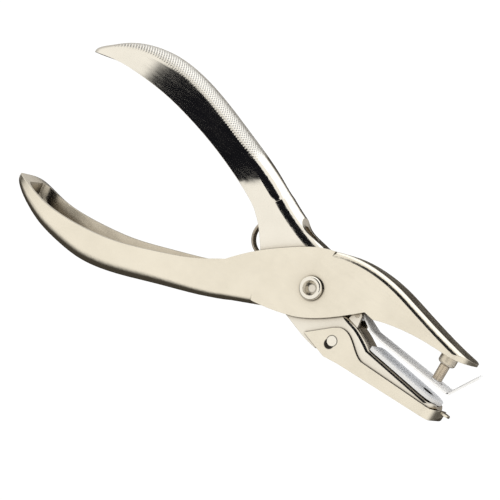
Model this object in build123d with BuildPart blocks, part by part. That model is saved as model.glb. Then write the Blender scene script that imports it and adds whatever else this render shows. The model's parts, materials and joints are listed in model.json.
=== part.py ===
from build123d import *
import math
import os

os.makedirs("parts", exist_ok=True)

# Single-hole plier punch lying on its side. The pivot axis is Z, the jaws point along +X,
# and the part rests on the lower rivet head and the lower rims of both handles at Z = 0.

# Sheet and stack across the thickness, each half-width counted from the middle plane
mid_z = 7.4             # height of the middle plane
sheet = 1.2             # levers
outer_half = 5.9        # outside of the punch lever's cheeks
inner_half = 4.6        # outside of the die lever's cheeks, which run inside the others
tray_half = 5.3         # outside of the chip tray
tray_sheet = 0.6

# Pivot
rivet_r = 2.0
pivot_play = 0.05
rivet_head_r = 3.25
rivet_head_from = outer_half + pivot_play
cup_r = 2.05
cup_deep = 1.9

# Punch and die
pin_r = 1.4
pin_tip = (40.9, -1.15)
pin_lean = 3.0          # degrees off square, so the pin stands square to the die when shut
pin_length = 8.8
socket_r = 2.45
socket_from = 4.5       # above the pin's tip
die_top_at = (23.2, -3.4)
die_slope = -5.3        # degrees
die_thick = 1.0
die_half = 5.6
die_hole_x = 40.575
die_hole_r = pin_r + 0.08
die_straight = 18.2

# Stripper leaf
leaf_thick = 0.45
leaf_axis = (14.3, 1.0)
leaf_pin_r = 0.6
leaf_half = 5.5
leaf_hole_r = 1.9
ear_from = 3.1
ear_thick = 1.0

# Return spring
coil_at = (-19.5, 3.7)
coil_r = 5.0
wire_r = 0.5

# Chip tray
tray_axis = (12.6, -8.4)
boss_r = 1.4


def section_plane(rim, crown):
    """Plane square to a handle: local x across the thickness, local y from rim to crown."""
    run = Vector(crown[0] - rim[0], crown[1] - rim[1], 0).normalized()
    return Plane(origin=(rim[0], rim[1], mid_z), x_dir=(0, 0, 1), z_dir=(-run.Y, run.X, 0))


def arch(rim, crown, half, lean, radius, rise, wall, reach):
    """Channel section: leaning sides, rounded crown, inset by wall, open past the rim by reach.

    The far side stands prouder of the rim than the near side by rise.
    """
    depth = math.dist(rim, crown) - wall
    lean_r = math.radians(lean)
    foot = half - wall / math.cos(lean_r)
    slope = math.tan(lean_r)
    radius = max(radius - wall, 0.3)
    corner = foot - depth * slope
    cut = radius / math.tan(math.radians(90 + lean) / 2)
    side = (corner + cut * math.sin(lean_r), depth - cut * math.cos(lean_r))
    turn = math.radians((90 + lean) / 2)
    bend = (corner - cut + radius * math.cos(turn), depth - radius + radius * math.sin(turn))
    low = (foot + reach * slope, -reach)
    far = (-low[0], low[1] - rise)
    with BuildSketch(section_plane(rim, crown)) as section:
        with BuildLine():
            Line(far, low)
            Line(low, side)
            ThreePointArc(side, bend, (corner - cut, depth))
            Line((corner - cut, depth), (cut - corner, depth))
            ThreePointArc((cut - corner, depth), (-bend[0], bend[1]), (-side[0], side[1]))
            Line((-side[0], side[1]), far)
        make_face()
    return section.sketch


def handle(stations, wall=0.0, reach=0.0):
    """Solid lofted through the arch sections of a handle."""
    with BuildPart() as body:
        loft(sections=[arch(*station, wall, reach) for station in stations])
    return body.part


def foot(point, start, end):
    """The point of the line from start to end that lies nearest to point."""
    run = (end[0] - start[0], end[1] - start[1])
    share = ((point[0] - start[0]) * run[0] + (point[1] - start[1]) * run[1]) / (run[0] ** 2 + run[1] ** 2)
    return (start[0] + share * run[0], start[1] + share * run[1])


# Rim point, crown point, half-width at the rim, lean of the sides, crown radius, rise of the far rim
web_end = (-12.4, -13.0)
web_start = (-20.9, -16.9)
hip_rim = (-25.4, -7.2)
punch_stations = [
    ((-92.3, -21.6), (-92.5, -22.7), 3.0, 8, 0.8, 0.1),
    ((-91.7, -21.7), (-91.6, -24.0), 4.9, 8, 1.7, 0.3),
    ((-89.8, -22.0), (-88.9, -26.0), 6.2, 9, 2.8, 0.7),
    ((-86.2, -22.8), (-84.6, -28.3), 6.9, 10, 3.8, 1.1),
    ((-80.5, -23.9), (-79.0, -30.3), 7.2, 10, 4.3, 1.4),
    ((-74.0, -24.1), (-72.3, -31.4), 7.35, 10, 4.6, 1.7),
    ((-66.0, -23.3), (-63.8, -31.7), 7.38, 10, 4.6, 1.9),
    ((-55.5, -21.1), (-52.4, -29.2), 7.3, 9, 4.4, 1.9),
    ((-44.0, -16.9), (-40.0, -24.6), 6.95, 7, 4.0, 1.6),
    ((-33.5, -12.2), (-29.3, -20.7), 6.4, 4, 3.3, 0.8),
    ((-29.6, -9.9), (-24.9, -18.9), 6.15, 2, 2.9, 0.3),
    (hip_rim, foot(hip_rim, web_start, web_end), outer_half, 0, 2.6, 0.0),
]
die_stations = [
    ((-93.5, 18.3), (-93.8, 19.3), 2.4, 10, 0.8, 0.0),
    ((-92.7, 18.5), (-92.5, 20.8), 4.0, 12, 1.8, 0.0),
    ((-90.7, 19.0), (-89.8, 23.0), 5.4, 13, 3.0, 0.0),
    ((-87.6, 19.7), (-86.0, 26.0), 6.4, 14, 4.0, 0.0),
    ((-82.9, 20.5), (-81.1, 28.5), 7.05, 15, 4.6, 0.0),
    ((-75.6, 20.8), (-74.3, 30.2), 7.35, 15, 5.0, 0.0),
    ((-66.7, 20.4), (-64.9, 30.1), 7.4, 15, 5.0, 0.0),
    ((-55.8, 18.7), (-52.6, 27.5), 7.25, 15, 4.8, 0.0),
    ((-44.9, 16.0), (-40.9, 23.9), 6.9, 14, 4.6, 0.0),
    ((-37.0, 13.3), (-32.6, 21.2), 6.3, 10, 4.4, 0.0),
    ((-30.4, 10.4), (-26.1, 18.7), 5.07, 3, 4.2, 0.0),
    ((-25.6, 7.5), (-20.714, 16.473), inner_half - 0.01, 0, 4.0, 0.0),
]
punch_core = [((-88.3, -22.4), (-87.2, -26.8), 5.0, 9, 2.9, 0.8)] + punch_stations[3:]
die_core = die_stations[2:]


def at_mid(height=0.0):
    return Plane.XY.offset(mid_z + height)


def slab(outline, half):
    """Both-ways extrusion of a closed outline made of point lists, each drawn as a smooth run."""
    with BuildPart() as body:
        with BuildSketch(at_mid()):
            with BuildLine():
                for run, following in zip(outline, outline[1:] + outline[:1]):
                    if len(run) > 2:
                        Spline(*run)
                    elif len(run) == 2:
                        Line(*run)
                    if math.dist(run[-1], following[0]) > 1e-6:
                        Line(run[-1], following[0])
            make_face()
        extrude(amount=half, both=True)
    return body.part


def inset(points, wall):
    """The same run moved sideways by wall, to the right of its direction."""
    moved = []
    for i, (x, y) in enumerate(points):
        ax, ay = points[max(i - 1, 0)]
        bx, by = points[min(i + 1, len(points) - 1)]
        span = math.hypot(bx - ax, by - ay)
        moved.append((x + wall * (by - ay) / span, y - wall * (bx - ax) / span))
    return moved


def round_run(body, half, radius, *runs):
    """Rounds the long edges of a slab that follow its runs, on both sides."""
    with BuildPart() as rounded:
        add(body)
        chosen = []
        for edge in rounded.edges():
            if abs(abs((edge @ 0.5).Z - mid_z) - half) > 0.01:
                continue
            ends = [((edge @ at).X, (edge @ at).Y) for at in (0, 1)]
            for run in runs:
                gaps = [min(math.dist(end, tip) for end in ends) for tip in (run[0], run[-1])]
                if max(gaps) < 0.02 and edge.length > 0.5 * math.dist(run[0], run[-1]):
                    chosen.append(edge)
        fillet(chosen, radius)
    return rounded.part


def beyond(point, origin, reach):
    """The point pushed away from the origin by reach."""
    span = math.dist(point, origin)
    return tuple(p + (p - o) * reach / span for p, o in zip(point, origin))


def rounded_nose(body, tip_x, half, radius, low=-30.0, high=30.0):
    """Cuts a body to a nose that is round in plan."""
    with BuildPart() as cut:
        add(body)
        with BuildSketch(Plane.XZ.offset(-high)):
            with BuildLine():
                Line((tip_x - 60, mid_z - half), (tip_x - radius, mid_z - half))
                ThreePointArc(
                    (tip_x - radius, mid_z - half),
                    (tip_x - radius * (1 - math.sqrt(0.5)), mid_z - half + radius * (1 - math.sqrt(0.5))),
                    (tip_x, mid_z - half + radius),
                )
                Line((tip_x, mid_z - half + radius), (tip_x, mid_z + half - radius))
                ThreePointArc(
                    (tip_x, mid_z + half - radius),
                    (tip_x - radius * (1 - math.sqrt(0.5)), mid_z + half - radius * (1 - math.sqrt(0.5))),
                    (tip_x - radius, mid_z + half),
                )
                Line((tip_x - radius, mid_z + half), (tip_x - 60, mid_z + half))
                Line((tip_x - 60, mid_z + half), (tip_x - 60, mid_z - half))
            make_face()
        extrude(amount=high - low, mode=Mode.INTERSECT)
    return cut.part


def die_level(x, drop=0.0):
    """Height along Y of the die plate's upper face, or of a face drop below it."""
    slope = math.radians(die_slope)
    return die_top_at[1] + math.tan(slope) * (x - die_top_at[0]) - drop / math.cos(slope)


# --- Punch lever: lower handle, outer cheeks and upper jaw -------------------------------
play = 0.1              # side play between the cheeks of the two levers
rim, crown = punch_stations[-1][:2]
web_step = (-12.78, -12.2)
web_root = (-14.2, -9.2)
cheek_top = [rim, (-18.3, 0.2), (-11.4, 5.7), (-3.7, 10.5), (0.0, 11.8)]
cheek_low = [(0.0, -9.0), (-6.0, -10.9), (-12.2, -12.2)]
jaw_top = [(0.0, 11.8), (6.2, 13.5), (12.5, 14.0), (19.4, 13.5), (26.4, 12.1), (38.9, 9.5), (47.9, 8.3)]
jaw_low = [(47.9, 7.5), (44.0, 6.5), (36.5, 6.0), (26.7, 4.8), (19.0, 2.6)]
jaw_root = [(16.0, 3.0), (10.5, -2.0), (4.9, -6.3), (0.0, -9.0)]

rear = slab([[crown, web_end], [web_root], [rim]], outer_half)
rear = round_run(rear, outer_half, 2.6, [crown, web_end])
cheeks = slab([cheek_top, cheek_low, [web_step], [web_root]], outer_half)
jaw = slab([jaw_top, jaw_low, jaw_root], outer_half)
jaw = round_run(jaw, outer_half, 1.6, jaw_top)
jaw = rounded_nose(jaw, 47.9, outer_half, 5.7)

core_half = outer_half - sheet
low_in = inset([crown, web_end], -sheet)
rear_core = slab(
    [[beyond(crown, rim, -sheet), beyond(low_in[1], low_in[0], 3)], [(-9.5, 12.0)], [(-20.0, 12.0)],
     [beyond(rim, crown, 3)]], core_half)
rear_core = round_run(
    rear_core, core_half, 1.4, [beyond(crown, rim, -sheet), beyond(low_in[1], low_in[0], 3)])
cheek_core = slab([[(-12.3, -16.0), (0.01, -16.0)], [(0.01, 15.0), (-12.3, 15.0)]], core_half)
top_in = [(-0.5, 10.3)] + inset(jaw_top[:-1], sheet)[1:] + [(46.2, 7.5)]
jaw_core = slab([top_in, [(46.8, 4.0)], [(30.0, -4.0)], [(-0.5, -14.0)]], core_half)
jaw_core = round_run(jaw_core, core_half, 0.4, top_in)
jaw_core = rounded_nose(jaw_core, 46.7, core_half, 4.5)

with BuildPart() as punch_lever:
    add(handle(punch_stations))
    add(rear)
    add(cheeks)
    add(jaw)
    add(handle(punch_core, sheet, 3), mode=Mode.SUBTRACT)
    add(rear_core, mode=Mode.SUBTRACT)
    add(cheek_core, mode=Mode.SUBTRACT)
    add(jaw_core, mode=Mode.SUBTRACT)
    with BuildSketch(Plane.XY):
        Circle(rivet_r + pivot_play)
    extrude(amount=2 * mid_z, mode=Mode.SUBTRACT)

# --- Die lever: upper handle, inner cheeks and lower jaw ---------------------------------
rim, crown = die_stations[-1][0], (-20.7, 16.5)
crown_run = [crown, (-14.6, 14.0), (-9.0, 12.3), (-3.0, 11.1), (1.0, 10.7)]
free_edge = [(9.5, -12.7), (4.4, -11.9), (-1.3, -10.3), (-9.0, -8.0), (-15.5, -3.6), (-19.2, 0.8), rim]
hub_top = [(1.0, 9.2), (5.0, 7.6), (8.2, 4.8), (9.5, 2.0)]
die_seat = [(x, die_level(x, die_thick)) for x in (22.3, 45.2)]
web_top = [(9.0, 2.9), (12.3, -0.5), (16.0, -1.4), (19.3, -2.7), die_seat[0]]
nose_front = [(46.3, -7.4), (46.3, -8.6)]
jaw_free = [(45.4, -9.3), (36.0, -10.1), (27.0, -10.7), (18.0, -11.5), (9.0, -12.6)]
crown_r = 4.0
bend_r = 1.4

arch_block = slab([crown_run, [(1.0, 6.0)], [(-18.0, 4.0)], [rim]], inner_half)
arch_block = round_run(arch_block, inner_half, crown_r, crown_run)
hub = slab([free_edge, [(-18.0, 7.5)], [(-9.0, 6.5)], [(1.0, 6.0)], hub_top], inner_half)
die_jaw = slab([web_top, die_seat, nose_front, jaw_free], inner_half)
die_jaw = round_run(die_jaw, inner_half, bend_r, web_top, die_seat)
die_jaw = rounded_nose(die_jaw, 46.3, inner_half, 3.8)

core_half = inner_half - sheet
crown_in = [beyond(crown, rim, -sheet)] + inset(crown_run, sheet)[1:-1] + [(2.0, 9.45)]
arch_core = slab([crown_in, [(2.0, 0.0)], [(-20.0, -4.0)], [beyond(rim, crown, 3)]], core_half)
arch_core = round_run(arch_core, core_half, crown_r - sheet, crown_in)
hub_core = slab([[(-24.0, 1.0), (1.0, 1.0)], [(1.0, 12.0), (9.01, 12.0)], [(9.01, -16.0), (-24.0, -16.0)]],
                core_half)
web_in = inset(web_top, sheet)
web_in[0] = (9.0, 1.2)
web_in[-1] = (22.2, -5.62)
jaw_core = slab([web_in, [(45.0, -7.73)], [(45.0, -13.0)], [(9.0, -15.0)]], core_half)
jaw_core = rounded_nose(jaw_core, 45.1, core_half, 2.6)
notch = slab([[(-14.2, 16.5), (-13.9, 13.3), (-12.6, 12.0), (-8.5, 10.9), (-3.0, 10.2), (1.5, 9.3)], [(1.5, 16.5)]],
             inner_half + 1)

die_normal = Vector(-math.sin(math.radians(die_slope)), math.cos(math.radians(die_slope)), 0)
die_mouth = Plane(origin=(die_hole_x, die_level(die_hole_x), mid_z), x_dir=(0, 0, 1), z_dir=die_normal)

with BuildPart() as die_lever:
    add(handle(die_stations))
    add(arch_block)
    add(hub)
    add(die_jaw)
    add(handle(die_core, sheet, 3), mode=Mode.SUBTRACT)
    add(arch_core, mode=Mode.SUBTRACT)
    add(hub_core, mode=Mode.SUBTRACT)
    add(jaw_core, mode=Mode.SUBTRACT)
    add(notch, mode=Mode.SUBTRACT)
    with BuildSketch(Plane.XY):
        Circle(rivet_r)
    extrude(amount=2 * mid_z, mode=Mode.SUBTRACT)
    with BuildSketch(die_mouth.offset(-3.5)):
        Circle(2.1)
    extrude(amount=3.2, mode=Mode.SUBTRACT)
    # bosses the chip tray swings on
    for side in (-1, 1):
        with BuildSketch(at_mid(side * (inner_half - 0.2))):
            with Locations(tray_axis):
                Circle(boss_r)
        extrude(amount=side * 0.95)
    # ears that carry the stripper's cross pin
    for side in (-1, 1):
        with BuildSketch(at_mid(side * ear_from)):
            with BuildLine():
                Line((12.7, -1.4), (13.0, 1.0))
                ThreePointArc((13.0, 1.0), (14.3, 2.3), (15.6, 1.0))
                Line((15.6, 1.0), (16.2, -2.2))
                Line((16.2, -2.2), (12.7, -1.4))
            make_face()
        extrude(amount=side * ear_thick)
        with BuildSketch(at_mid(side * ear_from)):
            with Locations(leaf_axis):
                Circle(leaf_pin_r)
        extrude(amount=side * ear_thick, mode=Mode.SUBTRACT)

# --- Pivot rivet: rolled rim with a cup on the upper side, flat-topped head below ---------
with BuildPart() as pivot_rivet:
    with BuildSketch(at_mid(-rivet_head_from)):
        Circle(rivet_r)
    extrude(amount=2 * rivet_head_from)
    with BuildSketch(at_mid(rivet_head_from)):
        Circle(rivet_head_r)
    extrude(amount=mid_z - rivet_head_from)
    fillet(pivot_rivet.edges().group_by(Axis.Z)[-1], 0.6)
    with BuildSketch(at_mid(-rivet_head_from)):
        Circle(rivet_head_r)
    extrude(amount=rivet_head_from - mid_z)
    fillet(pivot_rivet.edges().group_by(Axis.Z)[0], 0.8)
    with BuildSketch(Plane.XY.offset(2 * mid_z)):
        Circle(cup_r)
    with BuildSketch(Plane.XY.offset(2 * mid_z - cup_deep)):
        Circle(0.55 * cup_r)
    loft(mode=Mode.SUBTRACT)

# --- Return spring: torsion coil behind the pivot, a leg in each handle --------------------
def strand(path, at, along):
    """Round wire swept along a path."""
    with BuildPart() as wire:
        with BuildSketch(Plane(origin=at, z_dir=along)) as cut:
            Circle(wire_r)
        sweep(sections=cut.sketch, path=path, is_frenet=True)
    return wire.part


low_leg, high_leg = 230.0, 145.0          # directions of the legs
start, finish = low_leg - 270.0, high_leg - 90.0
turns = 2 + (finish - start) / 360.0
pitch = 2 * wire_r + 0.08
coil = Helix(pitch, pitch * turns, coil_r)
coil = Location((*coil_at, mid_z - pitch * turns / 2), (0, 0, start)) * coil
with BuildPart() as return_spring:
    add(strand(coil, coil @ 0, coil % 0))
    for end, sense, length in ((0, -1, 25.5), (1, 1, 19.5)):
        leg = Line(coil @ end, (coil @ end) + (coil % end) * sense * length)
        add(strand(leg, leg @ 0, leg % 0))
        with Locations(coil @ end):
            Sphere(wire_r)

# --- Punch pin and the socket that holds it in the upper jaw --------------------------------
pin_up = Vector(-math.sin(math.radians(pin_lean)), math.cos(math.radians(pin_lean)), 0)
pin_foot = Plane(origin=(*pin_tip, mid_z), x_dir=(0, 0, 1), z_dir=pin_up)
with BuildPart() as punch_pin:
    with BuildSketch(pin_foot):
        Circle(pin_r)
    extrude(amount=pin_length)

with BuildPart() as punch_socket:
    with BuildSketch(pin_foot.offset(socket_from)):
        Circle(socket_r)
    extrude(amount=pin_length - socket_from)
    low_rim = [e for e in punch_socket.edges() if abs(pin_foot.to_local_coords(e @ 0).Z - socket_from) < 0.01]
    fillet(low_rim, 0.9)
    with BuildSketch(pin_foot):
        Circle(pin_r)
    extrude(amount=pin_length, mode=Mode.SUBTRACT)

# --- Die plate: rounded in plan at the nose, hole square to its face ------------------------
with BuildPart() as die_plate:
    rear_at = (die_seat[0][0], die_seat[0][1], mid_z)
    with BuildSketch(Plane(origin=rear_at, x_dir=(0, 0, 1), z_dir=die_normal)) as plan:
        with BuildLine():
            Line((-die_half + 1.5, 0), (die_half - 1.5, 0))
            ThreePointArc((die_half - 1.5, 0), (die_half - 0.44, 0.44), (die_half, 1.5))
            Line((die_half, 1.5), (die_half, die_straight))
            ThreePointArc((die_half, die_straight), (0, die_straight + 5.2), (-die_half, die_straight))
            Line((-die_half, die_straight), (-die_half, 1.5))
            ThreePointArc((-die_half, 1.5), (-die_half + 0.44, 0.44), (-die_half + 1.5, 0))
        make_face()
    extrude(amount=die_thick)
    with BuildSketch(die_mouth):
        Circle(die_hole_r)
    extrude(amount=3, both=True, mode=Mode.SUBTRACT)

# --- Stripper leaf: curled round its cross pin, pierced for the punch, lip at the front -----
leaf_line = [(15.0, 1.9), (19.6, -0.35), (24.0, -0.8), (46.5, -1.95)]
lip_rise = (4.5, 8.1)
lip_skew = 2.4
with BuildPart() as stripper_leaf:
    with BuildSketch(at_mid()):
        with Locations(leaf_axis):
            Circle(leaf_pin_r + 0.05 + leaf_thick)
            Circle(leaf_pin_r + 0.05, mode=Mode.SUBTRACT)
    extrude(amount=ear_from - 0.15, both=True)
    with BuildSketch(at_mid()):
        with BuildLine() as run:
            FilletPolyline(*leaf_line, radius=1.5)
        trace(line_width=leaf_thick)
    extrude(amount=leaf_half, both=True)
    with BuildSketch(Plane.XZ.offset(-20)):
        with BuildLine():
            Polyline(
                (12.0, mid_z - 2.95), (16.5, mid_z - 2.95), (20.0, mid_z - 4.2), (23.5, mid_z - leaf_half),
                (45.9 - lip_skew / 2, mid_z - leaf_half), (45.9 + lip_skew / 2, mid_z + leaf_half),
                (23.5, mid_z + leaf_half), (20.0, mid_z + 4.2), (16.5, mid_z + 2.95), (12.0, mid_z + 2.95),
                close=True)
        make_face()
    extrude(amount=40, mode=Mode.INTERSECT)
    fold = Vector(lip_skew, 0, 2 * leaf_half)
    rise = Vector(*lip_rise, 0)
    lip_plane = Plane(origin=(45.9, -1.92, mid_z), x_dir=fold, z_dir=fold.cross(rise))
    half_fold = fold.length / 2
    across = rise.dot(fold.normalized())
    up = math.sqrt(rise.length ** 2 - across ** 2)
    with BuildSketch(lip_plane):
        with BuildLine():
            Polyline((-half_fold, 0), (half_fold, 0), (half_fold + across - 0.4, up), (-half_fold + across + 0.4, up),
                     close=True)
        make_face()
    extrude(amount=leaf_thick / 2, both=True)
    with BuildSketch(pin_foot):
        Circle(leaf_hole_r)
    extrude(amount=3, both=True, mode=Mode.SUBTRACT)

with BuildPart() as stripper_pin:
    with BuildSketch(at_mid()):
        with Locations(leaf_axis):
            Circle(leaf_pin_r)
    extrude(amount=ear_from + ear_thick, both=True)

# --- Chip tray: sides outside the lower jaw, floor under it, tab at the nose -----------------
tray_top = [(12.4, -4.3), (14.6, -4.1), (17.0, -5.2), (19.6, -7.1), (22.4, -8.45)]
tray_nose = [(45.0, -7.9), (47.6, -7.0)]
tray_low = [(47.6, -8.8), (46.9, -10.2), (45.0, -10.8)]
tray_rear = (4.7, -10.9)
tray = slab([tray_top, tray_nose, tray_low, [(27.0, -11.9), (17.5, -12.5)], [(12.8, -13.1), tray_rear], [(11.0, -5.2)]],
            tray_half)
core_half = tray_half - tray_sheet
tray_core = slab([[(2.0, 0.0), (47.0, 0.0)], [(47.0, -8.8), (46.4, -9.7), (44.9, -10.2)], [(27.0, -11.3), (17.3, -11.9)],
                  [(17.0, -16.0), (2.0, -16.0)]], core_half)
with BuildPart() as chip_tray:
    add(rounded_nose(tray, 47.6, tray_half, 4.4))
    add(rounded_nose(tray_core, 47.0, core_half, 3.8), mode=Mode.SUBTRACT)
    with BuildSketch(Plane.XZ.offset(7.2)):
        with Locations((47.6, mid_z)):
            Ellipse(1.9, 1.5)
    extrude(amount=0.6)
    add(rounded_nose(tray_core, 47.0, core_half, 3.8), mode=Mode.SUBTRACT)
    with BuildSketch(Plane.XY):
        with Locations(tray_axis):
            Circle(boss_r + 0.05)
    extrude(amount=2 * mid_z, mode=Mode.SUBTRACT)

pieces = {
    "punch_lever": punch_lever,
    "die_lever": die_lever,
    "pivot_rivet": pivot_rivet,
    "return_spring": return_spring,
    "punch_pin": punch_pin,
    "punch_socket": punch_socket,
    "die_plate": die_plate,
    "stripper_leaf": stripper_leaf,
    "stripper_pin": stripper_pin,
    "chip_tray": chip_tray,
}
for name, piece in pieces.items():
    piece.part.label = name
    export_step(piece.part, f"parts/{name}.step")
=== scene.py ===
"""Single-hole plier punch: finishes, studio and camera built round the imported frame."""
import json
import math

import bpy
from mathutils import Matrix, Vector


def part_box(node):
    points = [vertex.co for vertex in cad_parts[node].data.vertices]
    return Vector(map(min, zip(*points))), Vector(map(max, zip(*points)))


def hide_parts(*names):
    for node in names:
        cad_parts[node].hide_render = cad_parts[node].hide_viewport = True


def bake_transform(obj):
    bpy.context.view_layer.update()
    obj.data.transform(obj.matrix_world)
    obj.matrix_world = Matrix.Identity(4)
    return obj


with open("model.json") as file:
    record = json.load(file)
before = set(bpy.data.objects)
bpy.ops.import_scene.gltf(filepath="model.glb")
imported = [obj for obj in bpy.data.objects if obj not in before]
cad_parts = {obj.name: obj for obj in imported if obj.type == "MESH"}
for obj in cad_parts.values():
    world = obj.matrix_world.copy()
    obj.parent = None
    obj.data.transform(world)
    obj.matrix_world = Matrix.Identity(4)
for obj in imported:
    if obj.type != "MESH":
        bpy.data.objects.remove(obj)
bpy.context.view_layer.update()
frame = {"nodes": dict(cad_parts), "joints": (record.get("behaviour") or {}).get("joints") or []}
nodes = frame["nodes"]
joints = {joint["name"]: joint for joint in frame["joints"]}
pivot = Vector(joints["lever_pivot"]["pos_m"])
scene = bpy.context.scene

# --- Camera ---------------------------------------------------------------------------
VIEW_BACK = Vector((0.35325, 0.12765, 0.92678)).normalized()     # from the punch towards the camera
VIEW_UP = Vector((-0.54504, 0.83324, 0.09298))
VIEW_DISTANCE = 0.620
VIEW_CENTRE = Vector((-0.02293, -0.00209, 0.0))                  # from the pivot
LENS_MM = 163.8
SENSOR_MM = 36.0
CLIP_NEAR, CLIP_FAR = 0.01, 20.0

camera_data = bpy.data.cameras.new("camera")
camera = bpy.data.objects.new("camera", camera_data)
scene.collection.objects.link(camera)
right = VIEW_UP.cross(VIEW_BACK).normalized()
up = VIEW_BACK.cross(right)
turn = Matrix((right, up, VIEW_BACK)).transposed().to_4x4()
camera.matrix_world = Matrix.Translation(pivot + VIEW_CENTRE + VIEW_DISTANCE * VIEW_BACK) @ turn
camera_data.sensor_width = SENSOR_MM
camera_data.lens = LENS_MM
camera_data.clip_start = CLIP_NEAR
camera_data.clip_end = CLIP_FAR
scene.camera = camera


# --- Node helpers -----------------------------------------------------------------------
class Graph:
    """Short way to add and join shader nodes."""

    def __init__(self, tree):
        self.tree = tree
        tree.nodes.clear()

    def add(self, kind, **settings):
        node = self.tree.nodes.new(kind)
        for name, value in settings.items():
            setattr(node, name, value)
        return node

    def link(self, source, target):
        self.tree.links.new(source, target)

    def value(self, socket, value):
        """Joins another node's output to the socket, or sets the number on it."""
        if isinstance(value, bpy.types.NodeSocket):
            self.link(value, socket)
        else:
            socket.default_value = value

    def calc(self, operation, *inputs, clamp=False):
        node = self.add("ShaderNodeMath", operation=operation, use_clamp=clamp)
        for socket, value in zip(node.inputs, inputs):
            self.value(socket, value)
        return node.outputs[0]

    def length(self, gap_a, gap_b):
        """The length of a vector with these two components."""
        squares = [self.calc("MULTIPLY", gap, gap) for gap in (gap_a, gap_b)]
        return self.calc("SQRT", self.calc("ADD", *squares))

    def xyz(self, vector):
        """The three components, by name."""
        split = self.add("ShaderNodeSeparateXYZ")
        self.link(vector, split.inputs[0])
        return split.outputs

    def noise(self, vector, scale, detail, roughness, distortion=0.0):
        node = self.add("ShaderNodeTexNoise")
        self.link(vector, node.inputs["Vector"])
        node.inputs["Scale"].default_value = scale
        node.inputs["Detail"].default_value = detail
        node.inputs["Roughness"].default_value = roughness
        node.inputs["Distortion"].default_value = distortion
        return node.outputs["Fac"]

    def span(self, value, low, high, to_low, to_high, smooth=False):
        """to_low where value is low, to_high where it is high, and a ramp between them."""
        node = self.add("ShaderNodeMapRange", clamp=True)
        if smooth:
            node.interpolation_type = "SMOOTHSTEP"
        self.link(value, node.inputs["Value"])
        ends = {"From Min": low, "From Max": high, "To Min": to_low, "To Max": to_high}
        for name, number in ends.items():
            node.inputs[name].default_value = number
        return node.outputs["Result"]

    def openness(self, distance):
        """1 on open surfaces, falling towards 0 in corners and hollows narrower than distance."""
        node = self.add("ShaderNodeAmbientOcclusion", samples=8)
        node.inputs["Distance"].default_value = distance
        return node.outputs["AO"]

    def mix(self, factor, first, second):
        """The first colour where factor is 0, the second where it is 1."""
        node = self.add("ShaderNodeMix", data_type="RGBA", blend_type="MIX")
        self.value(node.inputs["Factor"], factor)
        for socket, value in ((node.inputs[6], first), (node.inputs[7], second)):
            self.value(socket, value)
        return node.outputs[2]


# --- Metal ------------------------------------------------------------------------------
CORNER_SHADE_DEPTH = 0.0007          # how far from a corner its painted shade line reaches
CORNER_SHADE_SHARE = 0.92            # how much of the painted shade's tone shows at its darkest
HOLLOW_DEPTH = 0.020         # hollows about this deep get a painted brown shade inside
HOLLOW_ROUGHER = 0.15
SCRATCH_ROUGHER = 0.25
SCRATCH_TURN = 0.5           # of the scratches about Z, from the polishing streaks
SPECK_SHARE = 0.3
ROUGHNESS_SPREAD = (0.85, 1.25)              # of the given roughness, over smears
STREAK_SPREAD = 0.03                         # in roughness, either way
GRAIN_HEIGHT = 0.00002
WAVE_HEIGHT = 0.0006
KNURL_HEIGHT = 0.00009
KNURL_STRENGTH = 0.8
KNURL_ROUGHER = 0.10

# Apart from the speck and scratch tones, these are painted shade: corner lines, hollows, knurl grooves, the
# channel end, round the boss and over the die hole.
CORNER_SHADE_TONE = (0.05, 0.042, 0.035, 1)
HOLLOW_SHADE_TONE = (0.36, 0.30, 0.22, 1)
SPECK_TONE = (0.34, 0.30, 0.25, 1)
SCRATCH_TONE = (0.93, 0.91, 0.87, 1)
GROOVE_SHADE_TONE = (0.30, 0.31, 0.34, 1)
CHANNEL_SHADE_TONE = (0.012, 0.011, 0.012, 1)
BOSS_SHADOW_TONE = (0.03, 0.027, 0.025, 1)
BORE_SHADE_TONE = (0.01, 0.01, 0.011, 1)


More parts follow.
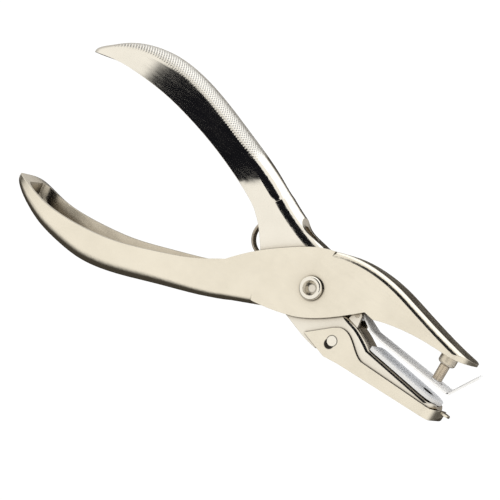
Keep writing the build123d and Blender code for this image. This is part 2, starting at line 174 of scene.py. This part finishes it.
def metal(name, tone, dim_tone, roughness, grain=0.25, waviness=0.1, edge=0.00015, streak_turn=0.0,
          knurl=None, scratches=0.3, hollow_shade=0.9, metallic=1.0, painted_shade=None, gloss=0.5):
    """Plated sheet metal: mottled tone, polishing streaks, faint waviness, scratches, burnished edges,
    painted shade along its corners and painted brown shade, with extra roughness, in its hollows."""
    material = bpy.data.materials.new(name)
    material.use_nodes = True
    g = Graph(material.node_tree)
    out = g.add("ShaderNodeOutputMaterial")
    shader = g.add("ShaderNodeBsdfPrincipled")
    g.link(shader.outputs[0], out.inputs[0])
    shader.inputs["Metallic"].default_value = metallic
    shader.inputs["Specular IOR Level"].default_value = gloss
    coordinates = g.add("ShaderNodeTexCoord")
    place = coordinates.outputs["Object"]

    def streaked(turn, along, across):
        """Coordinates turned about Z and drawn out, so that noise on them runs in lines."""
        turned = g.add("ShaderNodeMapping")
        g.link(place, turned.inputs["Vector"])
        turned.inputs["Rotation"].default_value = (0, 0, turn)
        turned.inputs["Scale"].default_value = (along, across, across)
        return turned.outputs[0]

    mottle = g.noise(place, scale=75, detail=4, roughness=0.6)
    smear = g.noise(place, scale=260, detail=5, roughness=0.65, distortion=0.6)
    streak_lines = streaked(streak_turn, along=70, across=1500)
    streaks = g.noise(streak_lines, scale=1.0, detail=3, roughness=0.6)
    scratch_lines = streaked(streak_turn + SCRATCH_TURN, along=55, across=2600)
    scratch_noise = g.noise(scratch_lines, scale=1.0, detail=1, roughness=0.5, distortion=0.3)
    scratch = g.span(scratch_noise, 0.70, 0.78, 0.0, scratches)
    specks = g.span(g.noise(place, scale=2300, detail=2, roughness=0.7), 0.70, 0.76, 0.0, SPECK_SHARE)
    tint = g.span(mottle, 0.3, 0.7, 0.0, 1.0, smooth=True)
    colour = g.mix(tint, (*tone, 1), (*dim_tone, 1))
    colour = g.mix(specks, colour, SPECK_TONE)
    colour = g.mix(scratch, colour, SCRATCH_TONE)
    # Painted shade: brown darkening in hollows found by ambient occlusion, which also roughens them.
    hollow = g.span(g.openness(HOLLOW_DEPTH), 0.30, 0.95, hollow_shade, 0.0)
    colour = g.mix(hollow, colour, HOLLOW_SHADE_TONE)
    # Painted shade where a part is given it: the channel end, round the boss or over the die hole.
    if painted_shade:
        colour = painted_shade(g, place, colour)
    # Painted shade: a dark line along corners and between parts, found by ambient occlusion.
    corner_shade = g.span(g.openness(CORNER_SHADE_DEPTH), 0.50, 0.86, CORNER_SHADE_SHARE, 0.0)
    colour = g.mix(corner_shade, colour, CORNER_SHADE_TONE)
    smoothest, roughest = (roughness * share for share in ROUGHNESS_SPREAD)
    rough = g.calc("ADD", g.span(smear, 0.35, 0.75, smoothest, roughest),
                   g.span(streaks, 0.3, 0.7, -STREAK_SPREAD, STREAK_SPREAD))
    rough = g.calc("ADD", rough, g.calc("MULTIPLY", hollow, HOLLOW_ROUGHER))
    rough = g.calc("ADD", rough, g.calc("MULTIPLY", scratch, SCRATCH_ROUGHER), clamp=True)

    rounded = g.add("ShaderNodeBevel", samples=6)
    rounded.inputs["Radius"].default_value = edge
    normal = rounded.outputs[0]

    def bump(height, strength, distance):
        nonlocal normal
        node = g.add("ShaderNodeBump")
        node.inputs["Strength"].default_value = strength
        node.inputs["Distance"].default_value = distance
        g.link(height, node.inputs["Height"])
        g.link(normal, node.inputs["Normal"])
        normal = node.outputs[0]

    bump(streaks, grain, GRAIN_HEIGHT)
    if waviness:
        bump(g.noise(place, scale=95, detail=1, roughness=0.4), waviness, WAVE_HEIGHT)
    if knurl:
        weave, mask = knurl(g, coordinates)
        bump(g.calc("MULTIPLY", weave, mask), KNURL_STRENGTH, KNURL_HEIGHT)
        # Painted shade darkening the knurl's grooves.
        groove_shade = g.calc("MULTIPLY", g.span(weave, -0.1, 0.75, 0.75, 0.0), mask)
        colour = g.mix(groove_shade, colour, GROOVE_SHADE_TONE)
        rough = g.calc("ADD", rough, g.calc("MULTIPLY", mask, KNURL_ROUGHER))
    g.link(colour, shader.inputs["Base Color"])
    g.link(rough, shader.inputs["Roughness"])
    g.link(normal, shader.inputs["Normal"])
    return material


# --- Painted shade and knurl --------------------------------------------------------------
TIP_FROM, TIP_TO = -0.0800, -0.0845          # along X, where painted shade blackens the lower handle's hollow
CHANNEL_DEPTH = 0.006                        # of the hollow that is painted black as shade


def tip_channel_shade(g, place, colour):
    """Painted shade: black inside the end of the lower handle's channel."""
    near_tip = g.span(g.xyz(place)["X"], TIP_TO, TIP_FROM, 1.0, 0.0, smooth=True)
    inside = g.span(g.openness(CHANNEL_DEPTH), 0.70, 0.95, 0.97, 0.0)
    return g.mix(g.calc("MULTIPLY", near_tip, inside), colour, CHANNEL_SHADE_TONE)


BOSS_CENTRE = Vector(joints["chip_tray_hinge"]["pos_m"])
BOSS_SHADE = (-0.00025, -0.00105)            # from the boss to the middle of the dark crescent by it
BOSS_RADIUS = 0.0013
CRESCENT_FADE = 0.0003                       # width of the crescent's soft edge
RING_FROM, RING_TO = 0.0002, 0.0004          # of the ring's soft edge, outside the boss


def boss_painted_shadow(g, place, colour):
    """Painted shadow in a crescent beside the boss and in a thin dark ring round it."""
    here = g.xyz(place)

    def distance(offset):
        return g.length(g.calc("SUBTRACT", here["X"], BOSS_CENTRE.x + offset[0]),
                        g.calc("SUBTRACT", here["Y"], BOSS_CENTRE.y + offset[1]))

    crescent = g.span(distance(BOSS_SHADE), BOSS_RADIUS, BOSS_RADIUS + CRESCENT_FADE, 1.0, 0.0, smooth=True)
    ring = g.span(distance((0, 0)), BOSS_RADIUS + RING_FROM, BOSS_RADIUS + RING_TO, 0.8, 0.0, smooth=True)
    return g.mix(g.calc("MAXIMUM", crescent, ring), colour, BOSS_SHADOW_TONE)


BORE_SETBACK = 0.00511                       # from the front end of the die plate to the middle of its hole
BORE_RADIUS = 0.00148
BORE_FADE_FROM, BORE_FADE_TO = 0.00003, 0.00015          # outside the hole's edge


def bore_painted_shade(g, place, colour):
    """Painted shade: black down the die hole."""
    low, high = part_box("die_plate")
    here = g.xyz(place)
    distance = g.length(g.calc("SUBTRACT", here["X"], high[0] - BORE_SETBACK),
                        g.calc("SUBTRACT", here["Z"], (low[2] + high[2]) / 2))
    down_hole = g.span(distance, BORE_RADIUS + BORE_FADE_FROM, BORE_RADIUS + BORE_FADE_TO, 0.98, 0.0)
    return g.mix(down_hole, colour, BORE_SHADE_TONE)


KNURL_PITCH = 0.0008
KNURL_SLANT = 0.8                            # along Z for each unit along X
KNURL_FROM, KNURL_TO = -0.0875, -0.0330      # along X on the upper handle


def crown_knurl(g, coordinates):
    """Crossed diagonal ridges on the crown of the upper handle, fading towards its sides and ends."""
    place = g.xyz(coordinates.outputs["Object"])
    facing = g.xyz(coordinates.outputs["Normal"])
    turns = 2 * math.pi / KNURL_PITCH
    ridges = []
    for sense in (1, -1):
        slant = g.calc("ADD", place["X"], g.calc("MULTIPLY", place["Z"], sense * KNURL_SLANT))
        ridges.append(g.calc("SINE", g.calc("MULTIPLY", slant, turns)))
    weave = g.calc("MAXIMUM", *ridges)
    across = g.span(facing["Y"], 0.35, 0.62, 0.0, 1.0, smooth=True)
    start = g.span(place["X"], KNURL_FROM - 0.002, KNURL_FROM + 0.002, 0.0, 1.0, smooth=True)
    stop = g.span(place["X"], KNURL_TO - 0.004, KNURL_TO + 0.001, 1.0, 0.0, smooth=True)
    mask = g.calc("MULTIPLY", across, g.calc("MULTIPLY", start, stop))
    return weave, mask


# --- Finishes -----------------------------------------------------------------------------
# Each pair is a finish's tone and the dimmer tone of its mottle.
WARM = (0.90, 0.86, 0.77), (0.84, 0.80, 0.71)
BRIGHT = (0.93, 0.91, 0.86), (0.88, 0.86, 0.81)
WIRE = (0.66, 0.62, 0.56), (0.54, 0.50, 0.45)
PUNCH = (0.78, 0.69, 0.56), (0.68, 0.60, 0.50)
SOCKET = (0.86, 0.80, 0.69), (0.76, 0.71, 0.62)
DIE = (0.80, 0.81, 0.83), (0.74, 0.75, 0.77)
PALE = (0.95, 0.96, 0.98), (0.90, 0.91, 0.93)
CROSS_PIN = (0.74, 0.70, 0.62), (0.62, 0.58, 0.52)

matt = {"waviness": 0.02, "hollow_shade": 0.0, "metallic": 0.05, "gloss": 0.1}
finishes = {
    "punch_lever": metal("nickel_lower_lever", *WARM, 0.17, streak_turn=0.2, painted_shade=tip_channel_shade),
    "die_lever": metal("nickel_upper_lever", *BRIGHT, 0.11, grain=0.15, streak_turn=-0.4,
                       knurl=crown_knurl),
    "pivot_rivet": metal("nickel_rivet", *BRIGHT, 0.15, waviness=0.0, edge=0.0001, hollow_shade=0.35),
    "return_spring": metal("spring_wire", *WIRE, 0.25, grain=0.1, waviness=0.0),
    "punch_pin": metal("punch_steel", *PUNCH, 0.30, grain=0.4, waviness=0.0, hollow_shade=0.35),
    "punch_socket": metal("socket_steel", *SOCKET, 0.28, waviness=0.0, hollow_shade=0.35),
    "die_plate": metal("die_steel", *DIE, 0.65, grain=0.2, painted_shade=bore_painted_shade, **matt),
    "stripper_leaf": metal("leaf_steel", *PALE, 0.65, grain=0.15, edge=0.00008, **matt),
    "stripper_pin": metal("cross_pin_steel", *CROSS_PIN, 0.25, waviness=0.0),
    "chip_tray": metal("nickel_tray", *WARM, 0.18, streak_turn=-0.5, edge=0.0001, painted_shade=boss_painted_shadow),
}
for name, finish in finishes.items():
    for slot in nodes[name].material_slots:
        slot.material = finish

# --- Return spring ------------------------------------------------------------------------
# A copy of the spring's mesh, with its transform baked in, stands in for the hidden CAD part.
spring = bpy.data.objects.new("spring_wire", nodes["return_spring"].data.copy())
scene.collection.objects.link(spring)
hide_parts("return_spring")
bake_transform(spring)

# --- Floor --------------------------------------------------------------------------------
FLOOR_SIDE = 4.0
FLOOR_DROP = 0.0002          # below the punch, so that the two don't share a plane
FLOOR_GLOW = 1.05
floor_mesh = bpy.data.meshes.new("floor")
half = FLOOR_SIDE / 2
corners = [(-half, -half, 0), (half, -half, 0), (half, half, 0), (-half, half, 0)]
floor_mesh.from_pydata(corners, [], [(0, 1, 2, 3)])
floor = bpy.data.objects.new("floor", floor_mesh)
scene.collection.objects.link(floor)
floor.location.z = -FLOOR_DROP
floor.visible_glossy = False
paper = bpy.data.materials.new("floor_paper")
paper.use_nodes = True
g = Graph(paper.node_tree)
out = g.add("ShaderNodeOutputMaterial")
glow = g.add("ShaderNodeEmission")
glow.inputs["Color"].default_value = (1, 1, 1, 1)
glow.inputs["Strength"].default_value = FLOOR_GLOW
g.link(glow.outputs[0], out.inputs[0])
floor_mesh.materials.append(paper)

# --- Studio -------------------------------------------------------------------------------
# The studio is a pale tent with dark flags where the plating shows dark.
world = bpy.data.worlds.new("studio")
scene.world = world
world.use_nodes = True
g = Graph(world.node_tree)
out = g.add("ShaderNodeOutputWorld")
sky = g.add("ShaderNodeBackground")
g.link(sky.outputs[0], out.inputs[0])
direction = g.add("ShaderNodeTexCoord").outputs["Generated"]
TILT = math.radians(34.2)      # of the studio's sideways axis about the pivot axis


def toward(across, upward, height):
    """A direction in the studio's axes, as one in the frame's axes."""
    c, s = math.cos(TILT), math.sin(TILT)
    return Vector((across * c - upward * s, across * s + upward * c, height)).normalized()


def reach(aim):
    """The cosine of the angle between a direction and aim."""
    dot = g.add("ShaderNodeVectorMath", operation="DOT_PRODUCT")
    g.link(direction, dot.inputs[0])
    dot.inputs[1].default_value = aim
    return dot.outputs["Value"]


def card(aim, inner_deg, outer_deg):
    """1 inside a round patch of directions about aim, falling to 0 at its outer angle."""
    outer, inner = (math.cos(math.radians(angle)) for angle in (outer_deg, inner_deg))
    return g.span(reach(aim), outer, inner, 0.0, 1.0, smooth=True)


IVORY = (0.97, 0.93, 0.85, 1)
GREY = (0.60, 0.57, 0.52, 1)
BROWN = (0.055, 0.048, 0.038, 1)
WHITE = (1.35, 1.35, 1.33, 1)
BLACK = (0.006, 0.006, 0.008, 1)
CARDS = (       # where it stands, its inner and outer angles in degrees, its tone
    (toward(-0.03, 0.20, -0.98), 13, 16, BROWN),
    (toward(-0.45, -0.25, -0.86), 18, 30, BROWN),
    (toward(0.22, 0.33, 0.92), 25, 27, BLACK),
    (toward(0.42, 0.86, -0.30), 36, 39, WHITE),
)
height = reach((0, 0, 1))
below = g.span(height, -0.45, 0.0, 1.0, 0.0, smooth=True)
colour = g.mix(below, IVORY, GREY)
lower_side = g.span(reach(toward(-0.45, -0.89, 0)), -0.2, 0.35, 0.0, 1.0, smooth=True)
not_overhead = g.span(height, 0.0, 0.68, 1.0, 0.0, smooth=True)
colour = g.mix(g.calc("MULTIPLY", lower_side, not_overhead), colour, BROWN)
for aim, inner_deg, outer_deg, card_tone in CARDS:
    colour = g.mix(card(aim, inner_deg, outer_deg), colour, card_tone)
g.link(colour, sky.inputs["Color"])
sky.inputs["Strength"].default_value = 1.0

# A soft fill that only the matt steel shows; the plating reflects the tent alone.
FILL_DISTANCE, FILL_SIDE, FILL_WATTS = 1.0, 0.6, 4.0
fill_aim = toward(0.22, 0.50, 0.84)
fill_data = bpy.data.lights.new("fill", "AREA")
fill_data.size = FILL_SIDE
fill_data.energy = FILL_WATTS
fill = bpy.data.objects.new("fill", fill_data)
scene.collection.objects.link(fill)
fill.location = pivot + FILL_DISTANCE * fill_aim
fill.rotation_euler = fill_aim.to_track_quat("Z", "Y").to_euler()
fill.visible_glossy = False

scene.view_settings.view_transform = "Standard"
scene.view_settings.look = "None"
scene.view_settings.exposure = 0.0
scene.view_settings.gamma = 1.0
